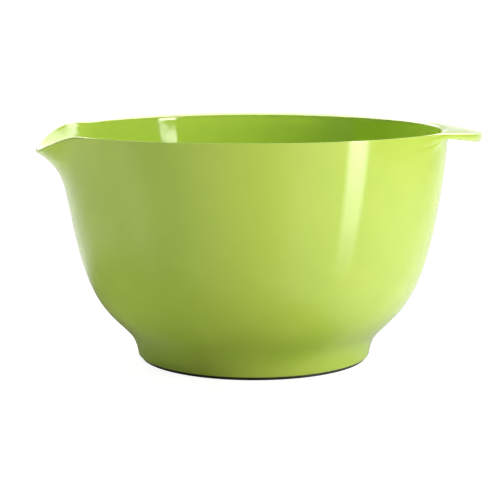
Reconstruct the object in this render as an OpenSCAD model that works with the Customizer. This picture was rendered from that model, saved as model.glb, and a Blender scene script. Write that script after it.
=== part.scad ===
/* [Bowl] */
// Diameter over the round rim, with the spout and handle aside
rim_d = 240; // [228:1:252]
// Height of the rim above the surface that the bowl stands on
bowl_h = 144.7; // [136:0.1:154]
// Diameter of the foot at its bottom edge
foot_d = 145.7; // [143:0.1:149]
// Thickness of the wall at the rim
wall_t = 4; // [3.4:0.1:4.2]
// How much thicker the wall gets for each millimetre down
wall_taper = 0.004; // [0:0.001:0.008]
// Thickness of the middle of the floor
floor_t = 4; // [3.4:0.1:4.2]
// Height of the inside of the floor above the surface
floor_h = 8.4; // [8:0.1:9]
// How far the rim sinks on its way to the lip and to the handle
rim_sag = 0.95; // [0:0.05:1.5]
// How far the top of the rim slopes down from its outer corner to the inside
land_drop = 2.6; // [1.6:0.1:3.2]

/* [Pouring lip] */
// How far the lip stands out past the rim beside it
lip_reach = 9.6; // [7:0.1:11]
// How far the lip dips below the rim
lip_dip = 11.3; // [7:0.1:13]
// Half of the angle that the lip takes up
lip_half = 25.5; // [23:0.5:30]
// Height over which the flare of the lip fades into the wall
lip_flare = 9; // [8:0.5:11]
// Radius of the lip's rounded pouring edge
lip_edge = 1.1; // [0.9:0.1:1.5]
// How much the rim swells on the whole side of the lip
side_swell = 4.4; // [2:0.1:6]
// Half of the angle over which the rim swells
side_half = 75; // [60:1:90]
// Height over which that swelling fades into the wall
side_flare = 14; // [11:0.5:16]

/* [Handle] */
// How far the thumb handle reaches out from the rim
handle_reach = 25.2; // [20:0.1:28]
// How far the handle slopes down over its length
handle_drop = 4.1; // [2:0.1:5]
// Thickness of the outer edge of the handle
handle_edge = 6.4; // [5:0.1:6.8]
// Half of the angle over which the handle flows into the rim
handle_half = 75; // [62:1:82]
// Size of the fillet under the handle
handle_fillet = 4.2; // [2.5:0.1:5]

/* [Base ring] */
// How far the rubber ring stands proud of the foot
ring_proud = 2; // [1.5:0.1:2.5]
// Outer diameter of the rubber ring
ring_d = 142.3; // [141:0.1:142.5]
// Width of the rubber ring
ring_w = 3.9; // [3:0.1:4]
// Depth of the groove that holds the ring
groove_depth = 3; // [2.5:0.1:3.2]
// Gap between the ring and each wall of its groove
groove_gap = 0.15; // [0.12:0.01:0.2]

/* [Hidden] */

stations = 96;
crowding = 0.32;
corner = 0.4;
inner_round = 1;
land_flat = 0.9;
lip_thin = 8;
rim_r = rim_d / 2;
foot_r = foot_d / 2;
crest_r0 = rim_r - corner;
wide = rim_r / 120;
tall = bowl_h / 144.7;
seam_z = 96 * tall;

groove_ro = ring_d / 2 + groove_gap;
groove_ri = ring_d / 2 - ring_w - groove_gap;
groove_z = ring_proud + groove_depth;
foot_ri = groove_ri - 1.8;
ring_top = groove_z - 0.1;

// The outside of the wall: each knot is radius, height, lean from upright, reach below, reach above
FOOT = [foot_r, ring_proud, 8.3, 0, 10.6];
WAIST = [83 * wide, 21.2 * tall, 46.2, 8.5, 11.6];
BELLY = [105.5 * wide, 55 * tall, 19.6, 20.3 * tall, 19.5 * tall];
RIM = [rim_r, 143 * tall, 2.6, 31.5 * tall, 0];

function place(k) = [k[0], k[1]];
function along(lean) = [sin(lean), cos(lean)];
function outward(lean) = [cos(lean), -sin(lean)];
function mix(a, b, t) = a + (b - a) * t;
function unit(v) = v / norm(v);
function smooth(t) = let (u = min(1, max(0, t))) u * u * (3 - 2 * u);

function bezier(p, t) =
    p[0] * pow(1 - t, 3) + 3 * p[1] * t * pow(1 - t, 2) + 3 * p[2] * t * t * (1 - t) + p[3] * pow(t, 3);

function span(k, m) = [place(k), place(k) + k[4] * along(k[2]), place(m) - m[3] * along(m[2]), place(m)];

FINE = 40;
WALL = [
    for (s = [span(FOOT, WAIST), span(WAIST, BELLY), span(BELLY, RIM)], i = [0 : FINE - 1])
        let (p = bezier(s, i / FINE)) [p[1], p[0]],
    [RIM[1], RIM[0]],
    [RIM[1] + 20, RIM[0] + 20 * tan(RIM[2])]
];

// A smooth hump that is 1 at angle 0 and dies out at the half angle
function hump(a, half, power) = abs(a) >= half ? 0 : pow((1 + cos(180 * a / half)) / 2, power);
// Angles are measured round the bowl: the handle is at 0 and the lip at 180
function off_handle(a) = abs(a > 180 ? a - 360 : a);
function off_lip(a) = 180 - off_handle(a);

function lip_swell(a) = lip_reach * hump(off_lip(a), lip_half, 0.75);
function wide_swell(a) = side_swell * hump(off_lip(a), side_half, 1);
function dip(a) =
    lip_dip * hump(off_lip(a), lip_half - 0.8, 0.87)
    + rim_sag * hump(off_lip(a), 140, 1)
    + rim_sag * hump(off_handle(a), 92, 1);

// 1 at the lip, where the rim is one round edge, and 0 where it has a sharp outer corner
function rounded(a) = smooth((lip_half + 10.5 - off_lip(a)) / 14);
function round_r(a) = mix(corner, lip_edge, rounded(a));

function crest_r(a) = crest_r0 + lip_swell(a) + wide_swell(a);
function crest_z(a) = bowl_h - dip(a);
function crest(a) = [crest_r(a), crest_z(a)];
function edge_lean(a) = atan(lip_swell(a) / lip_flare + wide_swell(a) / side_flare + tan(RIM[2]));
function edge_z(a) = crest_z(a) - round_r(a) * (1 + sin(edge_lean(a)));
function edge_r(a) = crest_r(a) + round_r(a) * cos(edge_lean(a));

// How much of a flare is left at a depth below the edge
function fade(depth, flare) = exp(-depth / flare) * (1 + cos(min(180, max(0, depth) * 180 / (4 * flare)))) / 2;
function skin_r(a, z) =
    let (depth = edge_z(a) - z, lip = edge_r(a) - lookup(edge_z(a), WALL) - wide_swell(a))
    lookup(z, WALL) + lip * fade(depth, lip_flare) + wide_swell(a) * fade(depth, side_flare);
function lean(a, z) = atan((skin_r(a, z) - skin_r(a, z - 0.5)) / 0.5);
function outside(a, z) = [skin_r(a, z), z];
function plain_t(depth) = wall_t + wall_taper * depth;
function thickness(a, z) =
    let (depth = edge_z(a) - z, plain = plain_t(depth))
    plain + (2 * round_r(a) - plain) * rounded(a) * exp(-depth / lip_thin);
function inside(a, z) = outside(a, z) - thickness(a, z) * outward(lean(a, z));

// The floor of the inside is flat in the middle and turns up in one arc that meets the wall at the waist
rise = 90 - WAIST[2];
bend_end = place(WAIST) - plain_t(bowl_h - WAIST[1]) * outward(WAIST[2]);
bend_r = (bend_end[1] - floor_h) / (1 - cos(rise));
flat_r = bend_end[0] - bend_r * sin(rise);
bend_mid = [flat_r, floor_h + bend_r];
recess_turn = asin((foot_ri - flat_r) / (bend_r + floor_t));
function bend(radius, turn) = bend_mid + radius * [sin(turn), -cos(turn)];

// Heights at which the wall is cut, as fractions of the way from the seam up to the top of the inside
INNER_CUTS = [0.28, 0.5, 0.66, 0.79, 0.89, 0.97];
OUTER_DEPTHS = [0.9, 1.8, 2.8, 3.8, 4.9, 6.1, 7.4, 8.8, 10.4, 12.2, 14.4, 17.5, 22, 30];
LOW_CUTS = [80, 66, 54, 44, 35.5, 28] * tall;
edge_span = bowl_h - 2 * corner - seam_z;

function outer_z(a, depth) = mix(edge_z(a), seam_z, depth / edge_span);

// A point on the round edge of the rim; turn is 180 inside, 90 at the very top and 0 outside
function rim_edge(a, turn) =
    let (
        slant = edge_lean(a),
        w = turn > 90 ? 90 + (turn - 90) * (90 - slant) / 90 : turn * (90 + slant) / 90 - slant
    )
    crest(a) + round_r(a) * [cos(w), sin(w) - 1];

// The top of the inside: a land that slopes in from the crest and turns down into the wall
function inside_top(a) =
    mix(crest_z(a) - land_drop + land_flat * hump(off_handle(a), 60, 1), edge_z(a), rounded(a));
function land(a) =
    let (
        start = inside(a, inside_top(a)),
        turn = start + inner_round * unit(start - inside(a, inside_top(a) - 0.5)),
        end = turn + inner_round * unit(crest(a) - turn)
    )
    [start, (start + 2 * turn + end) / 4, end, crest(a)];
function inner_edge(a) = let (flat = land(a)) [
    for (i = [0 : 3])
        mix(flat[i], rim_edge(a, 180 - 30 * i), rounded(a))
];

// The handle in section, from the crest outward: top, thick edge, underside and fillet
function handle_share(a) = hump(off_handle(a), handle_half, 3.3);
function beside(a, depth, gap) = [skin_r(a, crest_z(a) - depth) - crest_r(a) + gap, -depth];
function handle(a) =
    let (
        share = max(0.000001, handle_share(a)),
        reach = handle_reach * share,
        drop = handle_drop * share,
        edge = handle_edge * (0.3 + 0.7 * share),
        slab = edge * (1 - 0.28 * smooth(share / 0.4)),
        inner = min(handle_fillet + 0.2, 0.45 * reach),
        heel = max(reach - 1.05 * edge, 1.3 * inner),
        middle = inner + 0.45 * (heel - inner)
    )
    [
        for (t = [0.25, 0.5, 0.74, 0.92])
            [reach * t, -drop * pow(t, 1.6)],
        [reach - 0.5, 0.1 - drop],
        [reach - 0.03, -drop - 0.42],
        [reach, -drop - 0.55 * edge],
        [reach - 0.13 * edge, -drop - 0.86 * edge],
        [reach - 0.4 * edge, -drop - edge],
        [reach - 0.72 * edge, -drop - 0.95 * edge],
        [heel, -drop * pow(heel / reach, 1.6) - slab - 0.08 * edge],
        [middle, -drop * pow(middle / reach, 1.6) - slab],
        [inner, -drop * pow(inner / reach, 1.6) - slab],
        beside(a, slab + 0.29 * handle_fillet, 0.1 + 0.29 * inner),
        beside(a, slab + handle_fillet, 0.12),
        beside(a, slab + handle_fillet + 6, 0)
    ];

// From the crest outward, the plain rim and wall; the handle pulls these points out into its own section
function plain_rim(a) = concat(
    [for (turn = [60, 30, 0]) rim_edge(a, turn)],
    [for (d = OUTER_DEPTHS) outside(a, outer_z(a, d))]
);
function rim_with_handle(a) =
    let (plain = plain_rim(a), out = handle(a), pull = smooth(handle_reach * handle_share(a) / 6))
    [
        for (i = [0 : len(plain) - 1])
            i < len(out) ? mix(plain[i], crest(a) + out[i], pull) : plain[i]
    ];

foot_round = 0.6;
UNDERSIDE = [
    [foot_r + 0.05, ring_proud + foot_round],
    [foot_r - foot_round, ring_proud],
    [groove_ro, ring_proud],
    [groove_ro, groove_z],
    [groove_ri, groove_z],
    [groove_ri, ring_proud],
    [foot_ri + 0.5, ring_proud],
    [foot_ri, ring_proud + 0.5],
    bend(bend_r + floor_t, recess_turn) - [0, 1],
    bend(bend_r + floor_t, recess_turn - 2),
    bend(bend_r + floor_t, recess_turn * 0.45),
    bend(bend_r + floor_t, 0)
];

// One section through the wall, from the flat of the floor, over the rim and back to the flat underneath
function section(a) = concat(
    [for (t = [0 : 0.25 : 1]) bend(bend_r, t * rise)],
    [for (i = [len(LOW_CUTS) - 1 : -1 : 0]) inside(a, LOW_CUTS[i])],
    [inside(a, seam_z)],
    [for (t = INNER_CUTS) inside(a, mix(seam_z, inside_top(a), t))],
    inner_edge(a),
    rim_with_handle(a),
    [outside(a, seam_z)],
    [for (z = LOW_CUTS) outside(a, z)],
    [place(WAIST)],
    [for (t = [0.75, 0.5, 0.25]) bezier(span(FOOT, WAIST), t)],
    UNDERSIDE
);

function station(i) = let (t = 360 * i / stations) t - crowding * 90 / PI * sin(2 * t);

// Joins the sections into one closed skin, with a flat cap over each end
module skin(sections) {
    n = len(sections);
    m = len(sections[0]);
    points = [
        for (i = [0 : n - 1], p = sections[i])
            [p[0] * cos(station(i)), p[0] * sin(station(i)), p[1]]
    ];
    sides = [
        for (i = [0 : n - 1], j = [0 : m - 2])
            let (a = i * m + j, b = (i + 1) % n * m + j)
            each [[a, b + 1, a + 1], [a, b, b + 1]]
    ];
    caps = [
        [for (i = [n - 1 : -1 : 0]) i * m],
        [for (i = [0 : n - 1]) i * m + m - 1]
    ];
    polyhedron(points, concat(sides, caps), convexity = 8);
}

module bowl() {
    color([0.67, 0.82, 0.22])
        skin([for (i = [0 : stations - 1]) section(station(i))]);
}

module base_ring() {
    outer = ring_d / 2;
    soft = 0.7;
    color([0.14, 0.15, 0.14])
        rotate_extrude($fn = 96)
            polygon([
                [outer - ring_w + soft, 0],
                [outer - soft, 0],
                [outer - soft * 0.3, soft * 0.3],
                [outer, soft],
                [outer, ring_top],
                [outer - ring_w, ring_top],
                [outer - ring_w, soft],
                [outer - ring_w + soft * 0.3, soft * 0.3]
            ]);
}

bowl();
base_ring();
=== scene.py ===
import math

import bpy
import numpy as np
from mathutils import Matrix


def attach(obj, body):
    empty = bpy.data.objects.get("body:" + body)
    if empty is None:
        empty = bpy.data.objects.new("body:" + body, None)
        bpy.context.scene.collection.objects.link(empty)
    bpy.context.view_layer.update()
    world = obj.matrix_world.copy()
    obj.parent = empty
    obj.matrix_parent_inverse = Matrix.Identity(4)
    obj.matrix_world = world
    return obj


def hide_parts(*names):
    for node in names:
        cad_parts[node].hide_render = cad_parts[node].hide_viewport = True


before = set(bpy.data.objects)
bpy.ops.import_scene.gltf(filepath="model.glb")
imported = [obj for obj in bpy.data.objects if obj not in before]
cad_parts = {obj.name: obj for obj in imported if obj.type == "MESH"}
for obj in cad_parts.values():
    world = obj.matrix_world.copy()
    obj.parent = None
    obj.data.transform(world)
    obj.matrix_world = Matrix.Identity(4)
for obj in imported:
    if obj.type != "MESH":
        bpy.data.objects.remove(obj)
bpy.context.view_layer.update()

# ---------------------------------------------------------------- sizes, in millimetres
MM = 0.001

# The body: RIM_SAG is how far the rim sinks on its way to the lip and to the handle
RIM_R = 120.0
BOWL_H = 144.65
FOOT_R = 72.85
WALL_T = 4.0
WALL_TAPER = 0.004
FLOOR_T = 4.0
FLOOR_H = 8.4
RIM_SAG = 0.95
SAG_LIP_HALF = 140.0
SAG_HANDLE_HALF = 92.0

# The pouring lip, and the wider swelling of the rim that it stands on; half angles in degrees
LIP_REACH = 9.6
LIP_DIP = 11.3
LIP_HALF = 25.5
LIP_FLARE = 9.0
SIDE_SWELL = 4.4
SIDE_HALF = 75.0
SIDE_FLARE = 14.0

# The thumb handle
HANDLE_REACH = 25.05
HANDLE_DROP = 4.1
HANDLE_EDGE = 6.4
HANDLE_HALF = 75.0
HANDLE_FILLET = 4.2
HANDLE_CURVE = 1.6

# The rubber ring, its groove, and the foot's land inside the groove
RING_PROUD = 2.0
RING_R = 71.15
RING_W = 3.9
RING_TOP = 4.9
GROOVE_GAP = 0.15
GROOVE_TOP = 5.0
FOOT_LAND = 1.8

# The rim's edge: a sharp outer corner and a land sloping in, which turn into one round edge at the lip
CORNER = 0.22
LIP_EDGE = 1.1
LIP_THIN = 8.0
LIP_TURN_END = LIP_HALF + 10.5
LIP_TURN = 14.0
LAND_DROP = 2.6
LAND_FLAT = 0.9
INNER_ROUND = 1.0
CREST_R = RIM_R - 0.4

# Below the seam every section is the same; the skin has this many sections round the axis
SEAM_Z = 96.0
STATIONS = 300
# Keeps the fine skin just inside the CAD's coarser one
SNUG = 0.9993

# The outside of the wall: radius, height, lean from upright, reach below, reach above
FOOT = (FOOT_R, RING_PROUD, 8.3, 0.0, 10.6)
WAIST = (83.0, 21.2, 46.2, 8.5, 11.6)
BELLY = (105.5, 55.0, 19.6, 20.3, 19.5)
RIM = (RIM_R, 143.0, 2.6, 31.5, 0.0)


# ---------------------------------------------------------------- curves
def along(lean):
    return np.array([math.sin(math.radians(lean)), math.cos(math.radians(lean))])


def bezier(p, count):
    t = np.linspace(0, 1, count)[:, None]
    return p[0] * (1 - t) ** 3 + 3 * p[1] * t * (1 - t) ** 2 + 3 * p[2] * t**2 * (1 - t) + p[3] * t**3


def span(low, high, count=400):
    a = np.array(low[:2])
    b = np.array(high[:2])
    return bezier([a, a + low[4] * along(low[2]), b - high[3] * along(high[2]), b], count)


def even(points, step):
    """The same curve with its points a fixed step apart."""
    length = np.concatenate([[0], np.cumsum(np.linalg.norm(np.diff(points, axis=0), axis=1))])
    at = np.linspace(0, length[-1], max(2, int(length[-1] / step) + 1))
    return np.stack([np.interp(at, length, points[:, k]) for k in (0, 1)], 1)


def relax(points, reach):
    """Rounds off jumps in curvature: a weighted mean over neighbours within reach steps, ends kept."""
    n = 3 * reach
    w = np.exp(-0.5 * (np.arange(-n, n + 1) / reach) ** 2)
    w /= w.sum()
    padded = np.concatenate([2 * points[0] - points[n:0:-1], points, 2 * points[-1] - points[-2:-n - 2:-1]])
    return np.stack([np.convolve(padded[:, k], w, "valid") for k in (0, 1)], 1)


def wall_curve():
    """Radius against height for the outside of the wall, smooth from the foot to above the rim."""
    parts = np.concatenate([span(FOOT, WAIST)[:-1], span(WAIST, BELLY)[:-1], span(BELLY, RIM)])
    extra = 12
    above = np.array([[RIM[0] + extra * math.tan(math.radians(RIM[2])), RIM[1] + extra]])
    return relax(even(np.concatenate([parts, above]), 0.25), 9)


WALL = wall_curve()


def hump(angle, half, power):
    """1 at angle 0, dying out smoothly at the half angle."""
    u = np.clip(np.abs(angle) / half, 0, 1)
    return ((1 + np.cos(np.pi * u)) / 2) ** power


def smooth(t):
    t = np.clip(t, 0, 1)
    return t * t * (3 - 2 * t)


# ---------------------------------------------------------------- the bowl's section at each angle
# Angles are in degrees round the bowl: the handle is at 0 and the lip at 180.
ANGLES = np.arange(STATIONS) * 360.0 / STATIONS
OFF_HANDLE = np.abs((ANGLES + 180) % 360 - 180)
OFF_LIP = 180 - OFF_HANDLE

LIP_SWELL = LIP_REACH * hump(OFF_LIP, LIP_HALF, 0.75)
WIDE_SWELL = SIDE_SWELL * hump(OFF_LIP, SIDE_HALF, 1)
DIP = (
    LIP_DIP * hump(OFF_LIP, LIP_HALF - 0.8, 0.87)
    + RIM_SAG * hump(OFF_LIP, SAG_LIP_HALF, 1)
    + RIM_SAG * hump(OFF_HANDLE, SAG_HANDLE_HALF, 1)
)
ROUNDED = smooth((LIP_TURN_END - OFF_LIP) / LIP_TURN)
ROUND_R = CORNER + (LIP_EDGE - CORNER) * ROUNDED
RIM_SLOPE = math.tan(math.radians(RIM[2]))
EDGE_LEAN = np.arctan(LIP_SWELL / LIP_FLARE + WIDE_SWELL / SIDE_FLARE + RIM_SLOPE)
CREST = np.stack([CREST_R + LIP_SWELL + WIDE_SWELL, BOWL_H - DIP], 1)
EDGE_Z = CREST[:, 1] - ROUND_R * (1 + np.sin(EDGE_LEAN))
EDGE_R = CREST[:, 0] + ROUND_R * np.cos(EDGE_LEAN)
HANDLE_SHARE = hump(OFF_HANDLE, HANDLE_HALF, 3.3)


def wall_r(z):
    return np.interp(z, WALL[:, 1], WALL[:, 0])


def fade(depth, flare):
    """How much of a flare is left at a depth below the edge."""
    return np.exp(-depth / flare) * (1 + np.cos(np.clip(depth / (4 * flare), 0, 1) * np.pi)) / 2


def skin_r(z):
    """Outside radius at heights z, one row for each station."""
    depth = EDGE_Z[:, None] - z
    lip = (EDGE_R - wall_r(EDGE_Z) - WIDE_SWELL)[:, None] * fade(depth, LIP_FLARE)
    return wall_r(z) + lip + WIDE_SWELL[:, None] * fade(depth, SIDE_FLARE)


def outside(z):
    return np.stack([skin_r(z), z], 2)


def inside(z):
    """The inside of the wall: its thickness in from the outside, thinning towards the edge of the lip."""
    step = 0.2
    lean = np.arctan((skin_r(z) - skin_r(z - step)) / step)
    depth = EDGE_Z[:, None] - z
    thick = WALL_T + WALL_TAPER * depth
    thick += (2 * ROUND_R[:, None] - thick) * ROUNDED[:, None] * np.exp(-depth / LIP_THIN)
    return outside(z) - thick[:, :, None] * np.stack([np.cos(lean), -np.sin(lean)], 2)


def heights(low, high, count, start=True):
    """Rows of heights from low to high, either of them one number or one for each station."""
    t = np.linspace(0, 1, count)[None, :]
    low = np.broadcast_to(low, STATIONS)[:, None]
    high = np.broadcast_to(high, STATIONS)[:, None]
    rows = low + (high - low) * t
    return rows if start else rows[:, 1:]


def round_edge(turns):
    """Points on the rounded edge: turn is 180 inside, 90 at the very top and 0 outside."""
    lean = np.degrees(EDGE_LEAN)[:, None]
    turn = np.asarray(turns, float)[None, :]
    w = np.where(turn > 90, 90 + (turn - 90) * (90 - lean) / 90, turn * (90 + lean) / 90 - lean)
    w = np.radians(w)
    middle = CREST - np.stack([0 * ROUND_R, ROUND_R], 1)
    return middle[:, None, :] + ROUND_R[:, None, None] * np.stack([np.cos(w), np.sin(w)], 2)


LAND_END = CREST[:, 1] - LAND_DROP + LAND_FLAT * hump(OFF_HANDLE, 60, 1)
INSIDE_TOP = LAND_END + (EDGE_Z - LAND_END) * ROUNDED


def inner_edge():
    """The top of the inside: a land that slopes in from the crest and turns down into the wall through a
    small radius. At the lip it becomes one round edge."""
    start = inside(INSIDE_TOP[:, None])[:, 0]
    below = inside(INSIDE_TOP[:, None] - 0.5)[:, 0]
    up = (start - below) / np.linalg.norm(start - below, axis=1)[:, None]
    turn = start + INNER_ROUND * up
    to_crest = CREST - turn
    end = turn + INNER_ROUND * to_crest / np.linalg.norm(to_crest, axis=1)[:, None]
    t = np.linspace(0, 1, 7)[None, :, None]
    curve = start[:, None] * (1 - t) ** 2 + 2 * turn[:, None] * t * (1 - t) + end[:, None] * t**2
    t = np.array([0.08, 0.5, 0.9])[None, :, None]
    land = end[:, None] + (CREST - end)[:, None] * t
    flat = np.concatenate([curve, land], 1)
    return flat + ROUNDED[:, None, None] * (round_edge(np.linspace(180, 93, 10)) - flat)


def inner_floor():
    """The middle of the inside: flat, then one arc that meets the wall at the waist."""
    lean = math.radians(WAIST[2])
    thick = WALL_T + WALL_TAPER * (BOWL_H - 2 * CORNER - WAIST[1])
    end = np.array(WAIST[:2]) - thick * np.array([math.cos(lean), -math.sin(lean)])
    rise = math.pi / 2 - lean
    radius = (end[1] - FLOOR_H) / (1 - math.cos(rise))
    flat_r = end[0] - radius * math.sin(rise)
    return flat_r, radius, rise


FLAT_R, BEND_R, BEND_RISE = inner_floor()


def bend(radius, turn):
    """A point on the arc between floor and wall, or on one under it with a larger radius."""
    return np.array([FLAT_R + radius * math.sin(turn), FLOOR_H + BEND_R - radius * math.cos(turn)])


def inner_chain():
    """From the centre of the floor up to the seam, the same at every station."""
    floor = [[0, FLOOR_H], [FLAT_R, FLOOR_H]]
    arc = [bend(BEND_R, BEND_RISE * k / 60) for k in range(1, 60)]
    wall = inside(heights(WAIST[1], SEAM_Z, 200))[STATIONS // 4]
    chain = relax(even(np.array(floor + arc + wall.tolist()), 1.0), 4)
    far = chain[:, 0] > FLAT_R * 0.7
    return np.concatenate([[[k, FLOOR_H] for k in (6, 14, 20)], chain[far][::2]])


def flange():
    """The handle from the crest outward, for each station: top, thick edge, underside and fillet."""
    share = np.maximum(HANDLE_SHARE, 1e-6)
    reach = HANDLE_REACH * share
    drop = HANDLE_DROP * share
    edge = HANDLE_EDGE * (0.3 + 0.7 * share)
    slab = edge * (1 - 0.28 * smooth(share / 0.4))
    inner = np.minimum(HANDLE_FILLET + 0.2, 0.45 * reach)
    heel = np.maximum(reach - 1.05 * edge, 1.3 * inner)
    middle = inner + 0.45 * (heel - inner)

    def top(t):
        return [reach * t, -drop * t**HANDLE_CURVE]

    def under(x, depth):
        return [x, -drop * (x / reach) ** HANDLE_CURVE - depth]

    def beside(depth, gap):
        return [skin_r(CREST[:, 1:] - depth[:, None])[:, 0] - CREST[:, 0] + gap, -depth]

    points = [
        top(0.25),
        top(0.5),
        top(0.74),
        top(0.92),
        [reach - 0.5, 0.1 - drop],
        [reach - 0.03, -drop - 0.42],
        [reach, -drop - 0.55 * edge],
        [reach - 0.13 * edge, -drop - 0.86 * edge],
        [reach - 0.4 * edge, -drop - edge],
        [reach - 0.72 * edge, -drop - 0.95 * edge],
        under(heel, slab + 0.08 * edge),
        under(middle, slab),
        under(inner, slab),
        beside(slab + 0.29 * HANDLE_FILLET, 0.1 + 0.29 * inner),
        beside(slab + HANDLE_FILLET, 0.12),
        beside(slab + HANDLE_FILLET + 6, 0),
    ]
    return np.stack([np.stack(p, 1) for p in points], 1)


# How far below the edge the outside has its rows of points
OUTER_DEPTHS = [0.9, 1.8, 2.8, 3.8, 4.9, 6.1, 7.4, 8.8, 10.4, 12.2, 14.4, 17.5, 22, 30]


def spline(rows, first, last, steps):
    """A smooth curve through rows of points from index first to last, with steps points in each gap."""
    gap = np.sqrt(np.linalg.norm(np.diff(rows, axis=1), axis=2)) + 1e-4
    knot = np.concatenate([np.zeros((len(rows), 1)), np.cumsum(gap, 1)], 1)[:, :, None]
    out = []
    for i in range(first, last):
        p = [rows[:, k] for k in range(i - 1, i + 3)]
        u = [knot[:, k] for k in range(i - 1, i + 3)]
        for k in range(steps):
            t = u[1] + (u[2] - u[1]) * k / steps
            a = [((u[j + 1] - t) * p[j] + (t - u[j]) * p[j + 1]) / (u[j + 1] - u[j]) for j in range(3)]
            b = [((u[j + 2] - t) * a[j] + (t - u[j]) * a[j + 1]) / (u[j + 2] - u[j]) for j in range(2)]
            out.append(((u[2] - t) * b[0] + (t - u[1]) * b[1]) / (u[2] - u[1]))
    return np.stack(out, 1)


def outer_top():
    """From the crest outward and down to the seam; the handle pulls the points out into its own section."""
    depth = np.array(OUTER_DEPTHS) / (BOWL_H - 2 * CORNER - SEAM_Z)
    z = EDGE_Z[:, None] + (SEAM_Z - EDGE_Z)[:, None] * depth[None, :]
    edge = round_edge([150, 120, 90, 60, 30, 0])
    beyond = outside(heights(SEAM_Z, 78, 3))
    rows = np.concatenate([edge, outside(z), beyond], 1)
    target = CREST[:, None] + flange()
    first = 3
    last = first + target.shape[1]
    pull = smooth(HANDLE_REACH * HANDLE_SHARE / 6)[:, None, None]
    rows[:, first:last] += pull * (target - rows[:, first:last])
    return spline(rows, 2, rows.shape[1] - 3, 5)


def arc(middle, radius, start, end, count=5):
    w = np.radians(np.linspace(start, end, count))
    return [[middle[0] + radius * math.cos(k), middle[1] + radius * math.sin(k)] for k in w]


def underside():
    """The foot's bottom edge, the groove for the ring and the hollow under the floor."""
    outer = RING_R + GROOVE_GAP
    inner = RING_R - RING_W - GROOVE_GAP
    foot_ri = inner - FOOT_LAND
    soft = 0.25
    low = RING_PROUD
    turn = math.asin((foot_ri - FLAT_R) / (BEND_R + FLOOR_T))
    points = arc((FOOT_R - 0.65, low + 0.7), 0.7, -8, -90, 7)
    points += arc((outer + soft, low + soft), soft, -90, -180)
    points += arc((outer - soft, GROOVE_TOP - soft), soft, 0, 90, 3)
    points += arc((inner + soft, GROOVE_TOP - soft), soft, 90, 180, 3)
    points += arc((inner - soft, low + soft), soft, 0, -90)
    points += arc((foot_ri + 0.5, low + 0.5), 0.5, -90, -180)
    top = bend(BEND_R + FLOOR_T, turn)
    points += arc((foot_ri - 1.2, top[1] - 1.8), 1.2, 0, 68, 7)
    points += [bend(BEND_R + FLOOR_T, turn - 0.05 - (turn - 0.05) * k / 10) for k in range(11)]
    points += [[k, FLOOR_H - FLOOR_T] for k in (FLAT_R * 0.6, FLAT_R * 0.25, 6)]
    return np.array([[r, z] for r, z in points])


def everywhere(chain):
    """The same chain of points at every station."""
    return np.broadcast_to(chain, (STATIONS,) + chain.shape)


def bowl_sections():
    """The whole section, from the centre of the inside over the rim and round to the underside's centre."""
    lower = even(WALL[(WALL[:, 1] <= SEAM_Z) & (WALL[:, 1] > RING_PROUD + 1.2)][::-1], 1.4)
    return np.concatenate([
        everywhere(inner_chain()),
        inside(heights(SEAM_Z, INSIDE_TOP, 34, start=False))[:, :-1],
        inner_edge(),
        outer_top(),
        everywhere(lower),
        everywhere(underside()),
    ], 1)


# ---------------------------------------------------------------- meshes
def revolve(name, rows, closed):
    """A smooth skin through one section for each station. closed joins the section's ends; otherwise each
    end is closed at the axis."""
    n, m = rows.shape[:2]
    w = np.radians(np.arange(n) * 360.0 / n)[:, None]
    r = rows[:, :, 0] * SNUG
    xyz = np.stack([r * np.cos(w), r * np.sin(w), rows[:, :, 1]], 2)
    points = xyz.reshape(-1, 3)
    i = np.arange(n)[:, None]
    j = np.arange(m if closed else m - 1)[None, :]
    a = i * m + j
    b = (i + 1) % n * m + j
    a2 = i * m + (j + 1) % m
    b2 = (i + 1) % n * m + (j + 1) % m
    faces = np.stack([a, b, b2, a2], 2).reshape(-1, 4).tolist()
    if not closed:
        points = np.concatenate([points, [[0, 0, rows[0, 0, 1]], [0, 0, rows[0, -1, 1]]]])
        top, bottom = n * m, n * m + 1
        faces += [[top, (k + 1) % n * m, k * m] for k in range(n)]
        faces += [[bottom, k * m + m - 1, (k + 1) % n * m + m - 1] for k in range(n)]
        faces = [f[::-1] for f in faces]
    mesh = bpy.data.meshes.new(name)
    mesh.from_pydata((points * MM).tolist(), [], faces)
    mesh.shade_smooth()
    mesh.set_sharp_from_angle(angle=math.radians(50))
    mesh.update()
    piece = bpy.data.objects.new(name, mesh)
    bpy.context.scene.collection.objects.link(piece)
    return piece


def ring_sections():
    """The rubber ring: square in its groove, rounded where it meets the worktop, with two fine grooves."""
    outer = RING_R
    inner = RING_R - RING_W
    soft = 0.75
    points = arc((outer - 0.2, RING_TOP - 0.2), 0.2, 90, 0, 4)
    points += [[outer, 2.3], [outer - 0.05, 2.05]]
    points += arc((outer - soft, soft), soft, 0, -90, 8)
    groove = [(0.28, 0), (0.2, 0.1), (0, 0.28), (-0.2, 0.1), (-0.28, 0)]
    for middle in (outer - 1.45, outer - 2.45):
        points += [[middle + across, up] for across, up in groove]
    points += arc((inner + soft, soft), soft, -90, -180, 8)
    points += [[inner + 0.05, 2.05], [inner, 2.3]]
    points += arc((inner + 0.2, RING_TOP - 0.2), 0.2, 180, 90, 4)
    return everywhere(np.array(points))


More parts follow.
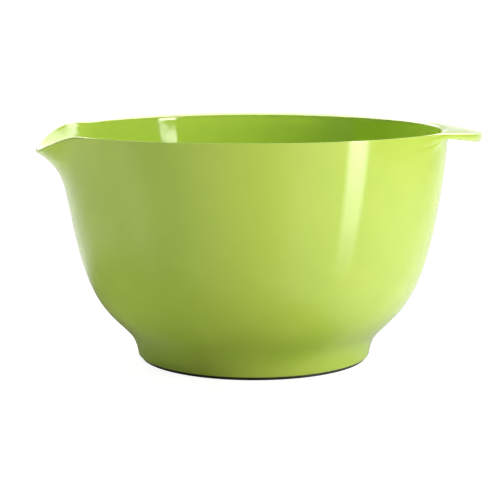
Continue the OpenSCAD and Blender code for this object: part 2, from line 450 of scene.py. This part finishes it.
# ---------------------------------------------------------------- materials
class Nodes:
    """A short hand for building a node tree."""

    def __init__(self, owner, shader="Principled BSDF"):
        self.material = bpy.data.materials.new(owner) if isinstance(owner, str) else owner
        self.material.use_nodes = True
        self.tree = self.material.node_tree
        self.shader = self.tree.nodes[shader]

    def add(self, kind, inputs=None, **settings):
        node = self.tree.nodes.new(kind)
        for key, value in settings.items():
            setattr(node, key, value)
        for key, value in (inputs or {}).items():
            self.put(node.inputs[key], value)
        return node

    def put(self, socket, value):
        if isinstance(value, bpy.types.NodeSocket):
            self.tree.links.new(value, socket)
        else:
            socket.default_value = value

    def set(self, name, value):
        self.put(self.shader.inputs[name], value)

    def math(self, operation, a, b=0.0, clamp=False):
        return self.add("ShaderNodeMath", {0: a, 1: b}, operation=operation, use_clamp=clamp).outputs[0]

    def ramp(self, value, low, high, to_low=0.0, to_high=1.0):
        inputs = {0: value, 1: low, 2: high, 3: to_low, 4: to_high}
        return self.add("ShaderNodeMapRange", inputs, interpolation_type="SMOOTHSTEP").outputs[0]

    def noise(self, vector, scale, detail=2.0, rough=0.5):
        inputs = {"Vector": vector, "Scale": scale, "Detail": detail, "Roughness": rough}
        return self.add("ShaderNodeTexNoise", inputs).outputs[0]

    def mix(self, factor, a, b):
        return self.add("ShaderNodeMix", {0: factor, 6: a, 7: b}, data_type="RGBA").outputs[2]


LIME = (0.575, 0.775, 0.112, 1.0)
LIME_DEEP = (0.545, 0.75, 0.102, 1.0)
LIME_RUBBED = (0.66, 0.8, 0.3, 1.0)
RUBBER_DARK = (0.028, 0.03, 0.028, 1.0)
RUBBER_GREY = (0.05, 0.053, 0.048, 1.0)


def melamine():
    """Hard glossy moulded melamine: colour right through, polished, with the faint marks of use."""
    n = Nodes("lime_melamine")
    place = n.add("ShaderNodeTexCoord").outputs["Object"]
    height = n.add("ShaderNodeSeparateXYZ", {0: place}).outputs[2]
    cloud = n.noise(place, 22, 3, 0.6)
    speck = n.noise(place, 900, 2, 0.5)
    colour = n.mix(n.ramp(cloud, 0.35, 0.7), LIME, LIME_DEEP)
    colour = n.mix(n.ramp(speck, 0.6, 0.8, 0.0, 0.12), colour, LIME_DEEP)

    # Fine scratches in three directions, plain to see only in the bottom of the bowl and round the foot
    scratches = None
    for turn, scale in ((0.3, 60), (1.4, 75), (2.5, 52)):
        lean = n.add("ShaderNodeVectorRotate", {0: place, "Angle": turn}, rotation_type="Z_AXIS").outputs[0]
        drawn = n.add("ShaderNodeVectorMath", {0: lean, 1: (1.0, 34.0, 6.0)}, operation="MULTIPLY").outputs[0]
        line = n.ramp(n.noise(drawn, scale, 2, 0.5), 0.66, 0.72)
        scratches = line if scratches is None else n.math("MAXIMUM", scratches, line)
    in_bottom = n.ramp(height, 0.012, 0.05, 1.0, 0.12)
    at_foot = n.ramp(height, 0.002, 0.006, 0.8, 0.0)
    marks = n.math("MULTIPLY", scratches, n.math("ADD", in_bottom, at_foot, clamp=True))

    # The bottom edge of the foot is rubbed dull and a little paler
    patches = n.ramp(n.noise(place, 130, 3, 0.6), 0.4, 0.62)
    rub = n.math("MULTIPLY", n.ramp(height, 0.002, 0.0036, 1.0, 0.0), patches)
    n.set("Base Color", n.mix(n.math("MULTIPLY", rub, 0.35), colour, LIME_RUBBED))
    n.set("IOR", 1.6)

    # Gloss that varies a little, and the faint waviness of a moulded skin
    haze = n.ramp(n.noise(place, 60, 4, 0.65), 0.3, 0.75, 0.045, 0.085)
    worn = n.math("ADD", n.math("MULTIPLY", marks, 0.16), n.math("MULTIPLY", rub, 0.3))
    n.set("Roughness", n.math("ADD", haze, worn))
    peel = n.noise(place, 170, 2, 0.5)
    ground = n.math("SUBTRACT", peel, n.math("MULTIPLY", marks, 0.35))
    bump = n.add("ShaderNodeBump", {"Strength": 0.03, "Distance": 0.0004, "Height": ground})
    n.set("Normal", bump.outputs[0])
    return n.material


def rubber():
    """Dark semi-gloss rubber with a fine grain."""
    n = Nodes("dark_rubber")
    place = n.add("ShaderNodeTexCoord").outputs["Object"]
    grain = n.noise(place, 2600, 3, 0.6)
    blotch = n.noise(place, 90, 3, 0.6)
    n.set("Base Color", n.mix(n.ramp(blotch, 0.3, 0.7), RUBBER_DARK, RUBBER_GREY))
    n.set("Roughness", n.ramp(grain, 0.3, 0.7, 0.3, 0.48))
    bump = n.add("ShaderNodeBump", {"Strength": 0.25, "Distance": 0.0001, "Height": grain})
    n.set("Normal", bump.outputs[0])
    return n.material


# ---------------------------------------------------------------- the two pieces
bowl = revolve("bowl_moulding", bowl_sections(), closed=False)
bowl.data.materials.append(melamine())
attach(bowl, "bowl")
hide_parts("bowl")

ring = revolve("rubber_ring", ring_sections(), closed=True)
ring.data.materials.append(rubber())
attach(ring, "base_ring")
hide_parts("base_ring")

# ---------------------------------------------------------------- camera
# The camera looks along a line turned by TURN from +Y, because the bowl stands slightly turned to it.
TURN = math.radians(-10.0)
CAMERA_BACK = 0.9628
CAMERA_UP = 0.2204
CAMERA_SIDE = -0.0024
CAMERA_PITCH = math.radians(9.076)
LENS = 111.8


def turned(x, y, z):
    """A place given in the camera's own level frame, x to its right and y away from it."""
    c, s = math.cos(TURN), math.sin(TURN)
    return (c * x - s * y, s * x + c * y, z)


camera = bpy.data.objects.new("camera", bpy.data.cameras.new("camera"))
bpy.context.scene.collection.objects.link(camera)
camera.location = turned(CAMERA_SIDE, -CAMERA_BACK, CAMERA_UP)
camera.rotation_euler = (math.pi / 2 - CAMERA_PITCH, 0, TURN)
camera.data.lens = LENS
camera.data.sensor_width = 36
camera.data.clip_start = 0.01
camera.data.clip_end = 100
bpy.context.scene.camera = camera
bpy.context.scene.view_settings.view_transform = "Standard"

# ---------------------------------------------------------------- floor and light
KEY_AZIMUTH = math.radians(59.4)
KEY_DISTANCE = 1.36
KEY_WIDTH = 0.27
KEY_HEIGHT = 1.3
KEY_RADIANCE = 12.8
KEY_COLOUR = (1.07, 1.0, 0.97)
WHITE = (1.0, 1.0, 1.0, 1.0)
BLACK = (0.0, 0.0, 0.0, 1.0)


def around(azimuth, distance, z):
    """A place at a distance from the bowl's axis, azimuth turned from the camera's side to its right."""
    return turned(math.sin(azimuth) * distance, -math.cos(azimuth) * distance, z)


def key_softbox():
    """One tall narrow softbox that stands on the table at the camera's right."""
    lamp = bpy.data.lights.new("key_softbox", "AREA")
    lamp.shape = "RECTANGLE"
    lamp.size = KEY_WIDTH
    lamp.size_y = KEY_HEIGHT
    lamp.energy = KEY_RADIANCE * math.pi * KEY_WIDTH * KEY_HEIGHT
    lamp.color = KEY_COLOUR
    light = bpy.data.objects.new("key_softbox", lamp)
    bpy.context.scene.collection.objects.link(light)
    light.location = around(KEY_AZIMUTH, KEY_DISTANCE, KEY_HEIGHT / 2)
    light.rotation_euler = (math.pi / 2, 0, TURN + KEY_AZIMUTH)
    light.visible_camera = False


key_softbox()


def square(side, z=0.0):
    return [(-side, -side, z), (side, -side, z), (side, side, z), (-side, side, z)]


def plane(name, corners):
    mesh = bpy.data.meshes.new(name)
    mesh.from_pydata(corners, [], [(0, 1, 2, 3)])
    piece = bpy.data.objects.new(name, mesh)
    bpy.context.scene.collection.objects.link(piece)
    return piece


def only_in_gloss(piece, n):
    """Gives a plane its glowing material, and lets it show in reflections alone."""
    n.material.cycles.emission_sampling = "NONE"
    piece.data.materials.append(n.material)
    piece.visible_camera = False
    piece.visible_diffuse = False
    piece.visible_shadow = False


def table_sheen():
    """The key softbox as a polished table would mirror it, soft at the sides and fading downwards."""
    w = KEY_WIDTH * 0.75
    sheen = plane("table_sheen", [(-w, 0, -KEY_HEIGHT), (w, 0, -KEY_HEIGHT), (w, 0, 0), (-w, 0, 0)])
    sheen.location = around(KEY_AZIMUTH, KEY_DISTANCE, 0)
    sheen.rotation_euler = (0, 0, TURN + KEY_AZIMUTH)
    n = Nodes("table_sheen")
    place = n.add("ShaderNodeSeparateXYZ", {0: n.add("ShaderNodeTexCoord").outputs["Object"]})
    down = n.math("MULTIPLY", place.outputs[2], -1.0 / KEY_DISTANCE)
    across = n.math("ABSOLUTE", place.outputs[0])
    beside = n.ramp(across, KEY_WIDTH * 0.3, w, 1.0, 0.0)
    below = n.math("POWER", n.ramp(down, 0.0, 0.74, 1.0, 0.0), 1.4)
    n.set("Base Color", BLACK)
    n.set("Emission Color", WHITE)
    n.set("Emission Strength", KEY_RADIANCE * 0.52)
    n.set("Alpha", n.math("MULTIPLY", below, beside))
    only_in_gloss(sheen, n)


table_sheen()


def table_shade():
    """The dark of the bowl's own reflection and shadow on the polished table, as its gloss sees it."""
    shade = plane("table_shade", square(0.3))
    shade.location = turned(-0.085, 0.0, -0.0003)
    n = Nodes("table_shade")
    place = n.add("ShaderNodeTexCoord").outputs["Object"]
    away = n.add("ShaderNodeVectorMath", {0: place}, operation="LENGTH").outputs["Value"]
    n.set("Base Color", BLACK)
    n.set("Specular IOR Level", 0.0)
    n.set("Emission Color", (0.5, 0.6, 0.2, 1))
    n.set("Emission Strength", 0.12)
    n.set("Alpha", n.ramp(away, 0.1, 0.25, 0.9, 0.0))
    only_in_gloss(shade, n)


table_shade()


def floor():
    """The pale floor that the camera sees, and just under it the matt white table that throws light up."""
    side = 12.0
    ground = plane("floor", square(side))
    n = Nodes("pale_floor")
    n.set("Base Color", (0.35, 0.35, 0.35, 1))
    n.set("Roughness", 0.9)
    n.set("Specular IOR Level", 0.0)
    n.set("Emission Color", WHITE)
    n.set("Emission Strength", 0.9)
    n.material.cycles.emission_sampling = "NONE"
    ground.data.materials.append(n.material)
    ground.visible_diffuse = False
    ground.visible_glossy = False
    ground.visible_shadow = False

    table = plane("table", square(side, -0.0005))
    n = Nodes("white_table")
    n.set("Base Color", (0.8, 0.8, 0.8, 1))
    n.set("Roughness", 0.9)
    n.set("Specular IOR Level", 0.0)
    table.data.materials.append(n.material)
    table.visible_camera = False
    table.visible_glossy = False


floor()

# Soft panels of light round the bowl. Azimuth runs from the camera's side to its right; each row is the
# middle, half width and softness in azimuth, the lowest and highest elevation and their softness, in
# degrees, then the radiance.
PANELS = {
    "backdrop": (180, 40, 20, -2, 20, 8, 0.75),
    "overhead": (180, 50, 10, 13, 80, 8, 3.8),
    "back_left": (-118, 22, 20, -2, 60, 20, 0.05),
    "left": (-75, 22, 20, -2, 60, 20, 0.18),
    "front_left": (-30, 24, 20, -2, 60, 20, 0.08),
    "front": (10, 16, 20, -2, 60, 20, 0.05),
    "front_right": (42, 16, 20, -2, 60, 20, 0.05),
    "right": (80, 20, 20, -2, 60, 20, 0.05),
    "back_right": (118, 20, 20, -2, 60, 20, 0.05),
    "ceiling": (0, 181, 1, 66, 91, 14, 0.15),
    "table_back": (180, 42, 28, -52, -1, 18, 1.0),
    "table_left": (-106, 34, 24, -56, -1, 20, 0.55),
    "table_front_left": (-50, 30, 24, -50, -1, 16, 0.35),
    "table_front": (0, 20, 24, -46, -1, 16, 0.15),
    "table_front_right": (45, 25, 24, -52, -1, 16, 0.8),
    "table_right": (105, 35, 24, -58, -12, 16, 1.05),
}


def studio():
    """The studio round the bowl, as soft panels; the camera itself sees plain white."""
    world = bpy.data.worlds.new("studio")
    bpy.context.scene.world = world
    degrees = 180 / math.pi
    n = Nodes(world, "Background")
    toward = n.add("ShaderNodeTexCoord").outputs["Generated"]
    level = n.add("ShaderNodeVectorRotate", {0: toward, "Angle": -TURN}, rotation_type="Z_AXIS")
    x, y, z = n.add("ShaderNodeSeparateXYZ", {0: level.outputs[0]}).outputs
    high = n.math("MULTIPLY", n.math("ARCSINE", z), degrees)
    total = None
    for middle, half, soft, low, top, edge, radiance in PANELS.values():
        c, s = math.cos(math.radians(middle)), math.sin(math.radians(middle))
        side = n.math("ADD", n.math("MULTIPLY", x, c), n.math("MULTIPLY", y, s))
        ahead = n.math("SUBTRACT", n.math("MULTIPLY", x, s), n.math("MULTIPLY", y, c))
        off = n.math("MULTIPLY", n.math("ABSOLUTE", n.math("ARCTAN2", side, ahead)), degrees)
        wide = n.ramp(off, half - soft / 2, half + soft / 2, 1.0, 0.0)
        under = n.ramp(high, low - edge / 2, low + edge / 2)
        over = n.ramp(high, top - edge / 2, top + edge / 2, 1.0, 0.0)
        window = n.math("MULTIPLY", wide, n.math("MULTIPLY", under, over))
        panel = n.math("MULTIPLY", window, radiance)
        total = panel if total is None else n.math("ADD", total, panel)
    to_camera = n.add("ShaderNodeLightPath").outputs["Is Camera Ray"]
    n.set("Strength", n.add("ShaderNodeMix", {0: to_camera, 2: total, 3: 1.0}).outputs[0])
    n.set("Color", WHITE)


studio()

bpy.context.view_layer.update()
